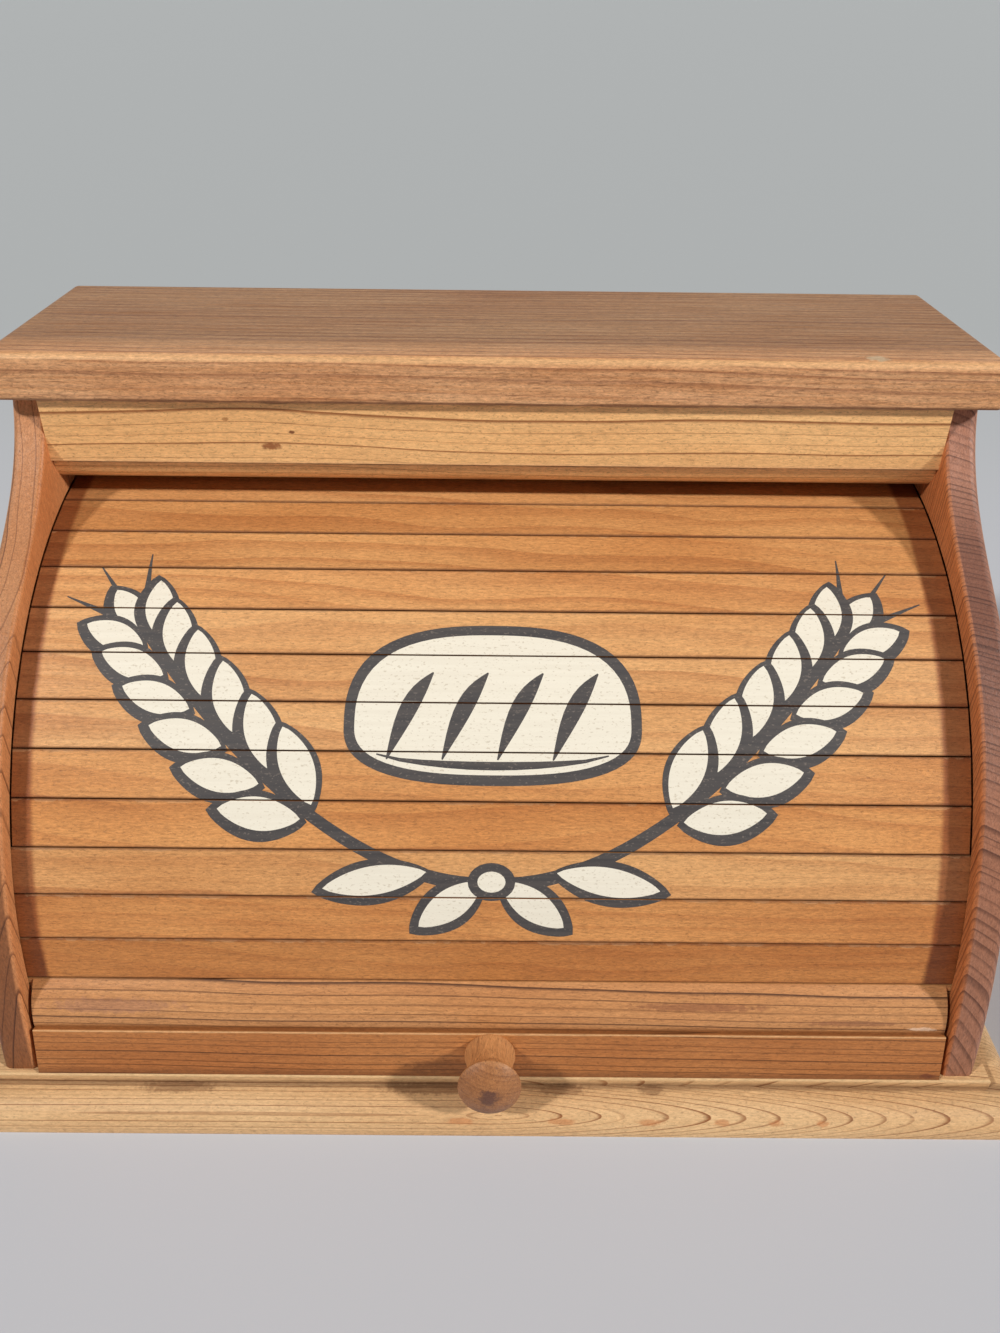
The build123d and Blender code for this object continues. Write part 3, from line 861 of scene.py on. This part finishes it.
def canvas_material():
    material, shader, here = new_material("cotton_canvas")
    x, y, z = split(here)
    angle = calc("ARCTAN2", minus(z, ARC_Z), minus(ARC_Y, y))
    thread = 2 * math.pi / THREAD_PITCH
    warp = calc("SINE", times(x, thread))
    weft = calc("SINE", times(times(angle, BACK_RADIUS), thread))
    weave = times(warp, weft)
    uneven = noise(here, (60.0, 60.0, 60.0), 4.0)["Fac"]
    shade = calc("ADD", times(weave, 0.18), uneven, clamp=True)
    fill_inputs(shader, {
        "Base Color": mix_colours(shade, tint(150, 132, 104), tint(206, 192, 162)),
        "Roughness": ramp(weave, -1.0, 1.0, 0.95, 0.82),
        "Normal": bump(weave, 0.5, 0.3 * MM),
        "Sheen Weight": 0.2,
    })
    return material


cotton_canvas = canvas_material()
print("threads per centimetre", round(2 * 10 * MM / THREAD_PITCH))

# %% [markdown]
# ## A strip of cloth
# A sheet without thickness would do for a picture, but a thin closed slab is a sound mesh and can
# be seen from both sides. Its outer layer lies flat on the slats. Its inner layer is gently
# dimpled, as glued cloth is. A rim of narrow faces closes the slab all round.

# %% Shape a strip of cloth
CANVAS_THICKNESS = 0.6 * MM
DIMPLE = 0.12 * MM
COLUMNS, ROWS_PER_SLAT = 72, 6
canvas_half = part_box("canvas_tail")[1].x


def on_arc(radius, angle):
    """Point (y, z) on the curtain's arc. The angle rises from straight ahead."""
    return ARC_Y - radius * math.cos(angle), ARC_Z + radius * math.sin(angle)


def add_object(name, data):
    """Put a mesh, a lamp or a camera into the scene."""
    made = bpy.data.objects.new(name, data)
    bpy.context.scene.collection.objects.link(made)
    return made


def canvas_strip(name, low, high):
    """A thin slab of cloth behind the slats from one angle to another."""
    rows = max(4, round((high - low) / SLAT_ANGLE * ROWS_PER_SLAT))
    vertices, faces = [], []
    for layer in (0, 1):
        for row in range(rows + 1):
            angle = low + (high - low) * row / rows
            for column in range(COLUMNS + 1):
                x = canvas_half * (2 * column / COLUMNS - 1)
                dimple = DIMPLE * math.sin(57 * x + 9 * angle) * math.sin(83 * angle + 3)
                inner = BACK_RADIUS - CANVAS_THICKNESS + dimple
                vertices.append((x, *on_arc(BACK_RADIUS if layer == 0 else inner, angle)))
    stride = COLUMNS + 1
    layer_size = stride * (rows + 1)
    for row in range(rows):
        for column in range(COLUMNS):
            a = row * stride + column
            faces.append((a, a + 1, a + stride + 1, a + stride))
            faces.append(tuple(layer_size + i for i in (a + stride, a + stride + 1, a + 1, a)))
    rim = list(range(COLUMNS + 1))
    rim += [row * stride + COLUMNS for row in range(1, rows + 1)]
    rim += [rows * stride + column for column in range(COLUMNS - 1, -1, -1)]
    rim += [row * stride for row in range(rows - 1, 0, -1)]
    for first, second in zip(rim, rim[1:] + rim[:1]):
        faces.append((second, first, layer_size + first, layer_size + second))
    mesh = bpy.data.meshes.new(name)
    mesh.from_pydata(vertices, [], faces)
    mesh.shade_smooth()
    mesh.materials.append(cotton_canvas)
    return add_object(name, mesh)


print("cloth", round(2 * canvas_half / MM), "mm wide")

# %% [markdown]
# ## Five strips
# The real canvas is one cloth. Here the curtain bends at four lines, and a mesh that rides on one
# body cannot bend, so the cloth is laid in five strips that meet at those lines. Each rides with
# the slats that it holds. The lowest one also reaches down behind the lift rail.

# %% Lay the canvas in strips
UNDER_RAIL = math.radians(4.5)           # how far the lowest strip reaches behind the rail


def joint_angle(slat):
    """Angle of the joint above a slat. Joint 0 is the one above the lift rail."""
    return RAIL_TOP_ANGLE + slat * SLAT_ANGLE


def body_of_slat(number):
    """Name of the body that a slat belongs to."""
    return frame["nodes"][f"slat_{number:02d}"]["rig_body"]


for node in sorted(n for n in frame["nodes"] if n.startswith("canvas")):
    body = frame["nodes"][node]["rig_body"]
    held = [n for n in SLATS if body_of_slat(n) == body]
    low = joint_angle(held[0] - 1) if node != "canvas_lead" else RAIL_TOP_ANGLE - UNDER_RAIL
    high = joint_angle(held[-1])
    strip = canvas_strip(node.replace("canvas", "canvas_cloth"), low, high)
    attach(strip, body)
    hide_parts(node)
    print(node, "slats", held, "length", round((high - low) * BACK_RADIUS / MM, 1), "mm")

# %% [markdown]
# ## Shapes for the painted ornament
# The front of the curtain carries a painted ornament in charcoal and cream: a loaf between two ears
# of wheat. A picture or a mask in the slats' material could carry it, but outlines cut in a mesh
# are sharper and easier to change. It is drawn flat, in millimetres across the box and up along the
# curtain, from four shapes: a leaf, a stroke, an oval and the loaf.

# %% Shapes for the ornament
LEAF_POINTS, OVAL_POINTS, LOAF_POINTS = 18, 24, 72


def leaf(x, y, length, width, turn):
    """A pointed leaf from its root (x, y). It turns from straight up, clockwise, in degrees."""
    outline = []
    for side in (1, -1):
        for step in range(LEAF_POINTS):
            share = step / LEAF_POINTS if side == 1 else 1 - step / LEAF_POINTS
            bulge = side * width / 2 * math.sin(math.pi * share) ** 0.75
            outline.append((bulge, length * share))
    angle = math.radians(turn)
    return [(x + px * math.cos(angle) + py * math.sin(angle),
             y - px * math.sin(angle) + py * math.cos(angle)) for px, py in outline]


def ribbon(centre_line, widths):
    """A stroke along a line of points, with its own width at each point."""
    left, right = [], []
    for index, (x, y) in enumerate(centre_line):
        last = centre_line[max(index - 1, 0)]
        coming = centre_line[min(index + 1, len(centre_line) - 1)]
        run = math.hypot(coming[0] - last[0], coming[1] - last[1])
        across = (-(coming[1] - last[1]) / run, (coming[0] - last[0]) / run)
        half = widths[index] / 2
        left.append((x + across[0] * half, y + across[1] * half))
        right.append((x - across[0] * half, y - across[1] * half))
    return left + right[::-1]


def oval(x, y, half_width, half_height):
    """A smooth oval."""
    turns = [2 * math.pi * step / OVAL_POINTS for step in range(OVAL_POINTS)]
    return [(x + half_width * math.cos(t), y + half_height * math.sin(t)) for t in turns]


def loaf(grow):
    """The outline of a round loaf with a flat underside, with an even border of a given width."""
    outline = []
    for step in range(LOAF_POINTS):
        turn = 2 * math.pi * step / LOAF_POINTS
        x, y = math.cos(turn), math.sin(turn)
        flat = 0.5 if y < 0 else 1.0
        square = (abs(x) ** 2.6 + abs(y) ** 2.6) ** (-1 / 2.6)
        outline.append(((55 + grow) * x * square, 108 + (38 * flat + grow) * y * square))
    return outline


print("loaf", round(max(x for x, y in loaf(0.0)) * 2), "mm wide")

# %% [markdown]
# ## The ears of wheat
# An ear is a bent stem with grains in pairs on both its sides. The stem is a formula, so each grain
# can ask for its place and its direction. Every cream shape has a charcoal border, heavier at its
# lower right, as a sign painter would put it. The left half mirrors the right one.

# %% Draw the ears of wheat
OUTLINE = 3.6                     # charcoal border round each cream shape, in millimetres
HEAVIER = (0.9, -0.9)             # the border's shift, which makes its lower right side heavier
STEM_STEPS, STEM_END, EAR_TIP = 36, 0.83, 0.85
GRAIN_PAIRS, FIRST_PAIR, PAIR_STEP = 6, 0.36, 0.088
strokes = []                      # (colour, outline), in the order of painting


def stem_point(share):
    """The stem of a wheat ear: from the tie at the bottom, out and up, in millimetres."""
    turn = math.radians(168 * share)
    return (5 + 146 * math.sin(turn / 2) ** 1.1, 45 + 57 * (1 - math.cos(turn)))


def stem_turn(share):
    """Direction of the stem, from straight up, clockwise, in degrees."""
    here, there = stem_point(share), stem_point(share + 0.01)
    return math.degrees(math.atan2(there[0] - here[0], there[1] - here[1]))


def paint_both(colour, outline):
    """A stroke on the right half, and its mirror image on the left."""
    strokes.extend(((colour, outline), (colour, [(-x, y) for x, y in reversed(outline)])))


def bordered_leaf(x, y, length, width, turn):
    """A cream leaf on its charcoal border, on both halves."""
    angle = math.radians(turn)
    root = (x - OUTLINE * math.sin(angle), y - OUTLINE * math.cos(angle))
    paint_both("charcoal", leaf(root[0] + HEAVIER[0], root[1] + HEAVIER[1],
                                length + 2 * OUTLINE, width + 2 * OUTLINE, turn))
    paint_both("cream", leaf(x, y, length, width, turn))


paint_both("charcoal", ribbon(
    [stem_point(STEM_END * step / STEM_STEPS) for step in range(STEM_STEPS + 1)],
    [6.0 - 3.0 * step / STEM_STEPS for step in range(STEM_STEPS + 1)]))
tip, tip_turn = stem_point(EAR_TIP), stem_turn(EAR_TIP)
for spread in (-34, 0, 30):                             # three awns
    far = math.radians(tip_turn + spread)
    line = [(tip[0] + 4.5 * t * math.sin(far), tip[1] + 4.5 * t * math.cos(far))
            for t in range(3, 9)]
    paint_both("charcoal", ribbon(line, [3.0 - 0.5 * t for t in range(6)]))
bordered_leaf(*tip, 22, 11, tip_turn)
for pair in reversed(range(GRAIN_PAIRS)):
    share = FIRST_PAIR + PAIR_STEP * pair
    for side in (-1, 1):
        turn, root = stem_turn(share), stem_point(share)
        across = math.radians(turn + side * 90)
        bordered_leaf(root[0] + 3.6 * math.sin(across), root[1] + 3.6 * math.cos(across),
                      33 - 1.4 * pair, 13.5 - 0.4 * pair, turn + side * 31)
print("strokes", len(strokes))

# %% [markdown]
# ## The tie and the loaf
# Four leaves and a round knot tie the stems together. The loaf stands in the middle, with four
# cuts that swell and taper like a pulled brush, and a thin shade line along its foot. They come
# last in the list, because later strokes lie over earlier ones.

# %% Draw the tie and the loaf
CUTS = (-34, -12, 10, 32)
swell = [math.sin(math.pi * t / 10) for t in range(11)]        # thin, thick, thin
bordered_leaf(26, 50, 42, 12, 100)
bordered_leaf(4, 46, 32, 13, 128)
strokes += [("charcoal", oval(0, 46, 9.5, 8)), ("cream", oval(0, 46, 5.6, 4.4))]
strokes += [("charcoal", loaf(OUTLINE + 0.6)), ("cream", loaf(0.0))]
for offset in CUTS:
    line = [(offset - 8 + 1.8 * t, 95 + 3.5 * t + 4 * swell[t]) for t in range(11)]
    strokes.append(("charcoal", ribbon(line, [0.6 + 6.4 * s for s in swell])))
shade_line = [(-46 + 9.2 * t, 97 - 4.4 * swell[t] ** 0.6) for t in range(11)]
strokes.append(("charcoal", ribbon(shade_line, [0.6 + 2.8 * s for s in swell])))
print("strokes", len(strokes))

# %% [markdown]
# ## From drawing to paint film
# Each colour is a thin film of paint with a real thickness, so that it parts at the joints when the
# curtain rolls. The drawing's height runs along the curtain from the joint above the lift rail. For
# each slat the drawing is cut to the slat's own band, a little short of its eased edges, then laid
# on its flat face and drawn out to the thickness of a coat of paint.

# %% Cut the drawing to a slat
EDGE_ROUND = 0.5 * MM
FACE_HALF = SLAT_PITCH / 2 - 0.2 * MM - EDGE_ROUND     # half of a slat's flat face
PAINT_HALF = FACE_HALF + 0.4 * MM                      # paint reaches over the eased edge
COAT = 0.03 * MM                                       # thickness of the first stroke
STROKE_STEP = 0.001 * MM                               # each stroke lies over the one before
BEDDING = 0.03 * MM                                    # how far paint soaks into the wood
CUT_LINES = ((FACE_HALF, False), (FACE_HALF + EDGE_ROUND * 0.5, False), (PAINT_HALF, True))


def paint_band(colour, slat):
    """The strokes of one colour on one slat, as closed films that start just inside the wood."""
    drawing = bmesh.new()
    for order, (stroke_colour, outline) in enumerate(strokes):
        if stroke_colour == colour:
            height = COAT + order * STROKE_STEP
            drawing.faces.new([drawing.verts.new((x * MM, y * MM, height)) for x, y in outline])
    middle = (slat - 0.5) * SLAT_PITCH
    for reach, outer in CUT_LINES:
        for side in (-1, 1):
            bmesh.ops.bisect_plane(
                drawing, geom=drawing.verts[:] + drawing.edges[:] + drawing.faces[:],
                plane_co=(0, middle + side * reach, 0), plane_no=(0, side, 0), clear_outer=outer,
            )
    bmesh.ops.triangulate(drawing, faces=drawing.faces[:])
    rim = [edge for edge in drawing.edges if edge.is_boundary]
    under = {top: drawing.verts.new((top.co.x, top.co.y, -BEDDING)) for top in drawing.verts[:]}
    for face in drawing.faces[:]:
        drawing.faces.new([under[top] for top in reversed(face.verts)])
    for first, second in (edge.verts for edge in rim):
        drawing.faces.new((first, second, under[second], under[first]))
    bmesh.ops.recalc_face_normals(drawing, faces=drawing.faces[:])
    lay_on_slat(drawing, middle, joint_angle(slat - 0.5))
    return drawing


def lay_on_slat(drawing, middle, angle):
    """Move a flat drawing onto a slat's face, and its edges over the eased edges."""
    outward = Vector((0, -math.cos(angle), math.sin(angle)))
    upward = Vector((0, math.sin(angle), math.cos(angle)))
    foot = Vector((0, *on_arc(CURTAIN_RADIUS, angle)))
    for vertex in drawing.verts:
        up = vertex.co.y - middle
        past = max(abs(up) - FACE_HALF, 0.0)
        rise = vertex.co.z - (EDGE_ROUND - math.sqrt(EDGE_ROUND ** 2 - past ** 2))
        vertex.co = foot + Vector((vertex.co.x, 0, 0)) + upward * up + outward * rise


print("painted band", round(2 * PAINT_HALF / MM, 1), "mm of every", round(SLAT_PITCH / MM, 1))

# %% [markdown]
# ## The two paints
# Old flat paint is not even: the wood's fibres show through as faint streaks, and small specks
# have rubbed away. The fibre group gives both, with its grain along the slats, so the paint looks
# as if it lay on this wood and no other.

# %% Mix the paints
def paint_material(name, colour, speck_colour, amount):
    """Flat, slightly worn paint, with the wood's fibres just showing through."""
    material, shader, here = new_material(name)
    fibre = use_group(fibres, Position=here)
    mixed = mix_colours(times(fibre["Streak"], 0.10), tint(*colour), tint(*speck_colour))
    fill_inputs(shader, {
        "Base Color": mix_colours(times(fibre["Speck"], amount), mixed,
                                  tint(*speck_colour)),
        "Roughness": plus(0.5, times(fibre["Streak"], 0.15)),
        "Normal": bump(fibre["Streak"], 0.25, 0.1 * MM),
    })
    return material


paints = {"charcoal": paint_material("charcoal_paint", (62, 58, 58), (150, 136, 124), 0.35),
          "cream": paint_material("cream_paint", (240, 232, 214), (176, 158, 132), 0.45)}
print("paints", ", ".join(paints))

# %% [markdown]
# ## Painting the curtain
# The paint has to move with the wood. So the bands on slats that ride on one body are joined into
# one piece of each colour, and that piece rides on the same body. One piece for each slat would
# do as well, but five of each colour are easier to keep track of.

# %% Lay the paint on the slats
def join_bands(name, bands):
    """One mesh from several drawings, or nothing where the drawings are empty."""
    joined = bmesh.new()
    for band in bands:
        scratch = bpy.data.meshes.new("scratch")
        band.to_mesh(scratch)
        joined.from_mesh(scratch)
        bpy.data.meshes.remove(scratch)
        band.free()
    mesh = bpy.data.meshes.new(name) if joined.faces else None
    if mesh:
        joined.to_mesh(mesh)
    joined.free()
    return mesh


for label, material in paints.items():
    for body in dict.fromkeys(body_of_slat(number) for number in SLATS):
        mesh = join_bands(f"{label}_paint_{body}",
                          [paint_band(label, n) for n in SLATS if body_of_slat(n) == body])
        if mesh:
            mesh.materials.append(material)
            painted = add_object(mesh.name, mesh)
            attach(painted, body)
            print(painted.name, "faces", len(mesh.polygons))

# %% [markdown]
# ## Floor
# The floor is plain and pale, one large square so that its edge is far away. Behind the box it
# turns a little darker, painted shade as in a room that is darker away from its light. A backdrop
# could be a second piece, but a floor whose colour changes with depth needs no bend and shows
# no seam.

# %% Lay the floor
FLOOR_HALF = 90.0
FADE_START, FADE_END = 0.25, 1.1


def floor_material(name, colour, far_shaded_colour, roughness):
    material, shader, here = new_material(name)
    # Painted shade: the floor darkens with depth behind the box.
    behind = ramp(split(here)[1], FADE_START, FADE_END)
    fill_inputs(shader, {"Base Color": mix_colours(behind, tint(*colour), tint(*far_shaded_colour)),
                         "Roughness": roughness})
    return material


floor_mesh = bpy.data.meshes.new("floor")
corners = [(x * FLOOR_HALF, y * FLOOR_HALF, 0.0) for x, y in ((-1, -1), (1, -1), (1, 1), (-1, 1))]
floor_mesh.from_pydata(corners, [], [(0, 1, 2, 3)])
floor_mesh.materials.append(floor_material("pale_floor", (196, 198, 204), (180, 184, 186), 0.85))
floor = add_object("floor", floor_mesh)
print("floor", 2 * FLOOR_HALF, "m wide")

# %% [markdown]
# ## World
# The world does two jobs. As light it only fills the shadows, so it is weak. As a background it
# has to look like a pale wall. Light Path tells the two apart: rays from the camera, and rays
# mirrored or passed on by a surface, see the wall, and all others get the weak fill.

# %% Light the world
world = bpy.data.worlds.new("studio")
bpy.context.scene.world = world
world.use_nodes = True
sky = world.node_tree
fill = fill_inputs(sky.nodes["Background"], {"Color": tint(238, 242, 246), "Strength": 0.10})
seen = place("Background", {"Color": tint(178, 182, 184), "Strength": 1.0}, tree=sky)
path = place("LightPath", tree=sky).outputs
mirrored_or_passed = calc("MAXIMUM", path["Is Glossy Ray"], path["Is Transmission Ray"])
looked_at = calc("MAXIMUM", path["Is Camera Ray"], mirrored_or_passed)
either = place("MixShader", {0: looked_at, 1: fill.outputs[0], 2: seen.outputs[0]})
fill_inputs(sky.nodes["World Output"], {"Surface": either.outputs[0]})
print("fill light", round(fill.inputs["Strength"].default_value, 2))

# %% [markdown]
# ## Daylight
# Light comes from two sides, as from two windows: a strong one at the right and a weaker one at the
# left, both high and in front, so each side of the box throws a narrow shadow on the ends of the
# slats. Area lamps would fade across the box. Sun lamps give even light, and their angle sets
# how soft the shadow's rim is.

# %% Open the two windows
SUNLIGHT = (1.0, 0.98, 0.95)
SOFTNESS = math.radians(5)


def daylight(name, source, strength):
    """Parallel light from a direction, with soft shadow edges."""
    lamp = bpy.data.lights.new(name, "SUN")
    lamp.energy = strength
    lamp.angle = SOFTNESS
    lamp.color = SUNLIGHT
    holder = add_object(name, lamp)
    holder.rotation_euler = (-Vector(source)).to_track_quat("-Z", "Y").to_euler()
    height = math.degrees(math.asin(source[2] / Vector(source).length))
    print(name, round(height), "degrees high")


daylight("right_window", (0.80, -0.36, 0.56), 2.4)
daylight("left_window", (-0.66, -0.42, 0.67), 1.9)

# %% [markdown]
# ## Camera
# The camera looks down on the front, very slightly turned and tilted. Its place and angles were
# fitted to corners whose sizes are known, which is surer than turning it by eye. The focal length
# was found in pixels of the tall picture, so it is turned into millimetres by the same height.

# %% Set the camera
PHOTO_HEIGHT = 1333
FOCAL_PIXELS = 1026.2
CAMERA_AT = (0.0010, -0.3852, 0.3964)
PITCH, ROLL, YAW = math.radians(33.65), math.radians(-0.694), math.radians(-0.269)
heading = Matrix.Rotation(YAW, 3, "Z")
level_right = heading @ Vector((1, 0, 0))
forward = heading @ Vector((0, math.cos(PITCH), -math.sin(PITCH)))
level_up = heading @ Vector((0, math.sin(PITCH), math.cos(PITCH)))
right = math.cos(ROLL) * level_right - math.sin(ROLL) * level_up
up = math.sin(ROLL) * level_right + math.cos(ROLL) * level_up
lens = bpy.data.cameras.new("camera")
lens.sensor_width = 36.0
lens.lens = lens.sensor_width * FOCAL_PIXELS / PHOTO_HEIGHT
lens.clip_start = 0.01
camera = add_object("camera", lens)
facing = Matrix((right, up, -forward)).transposed().to_4x4()
camera.matrix_world = Matrix.Translation(CAMERA_AT) @ facing
bpy.context.scene.camera = camera
bpy.context.scene.view_settings.view_transform = "Standard"
print("lens", round(lens.lens, 2), "mm")
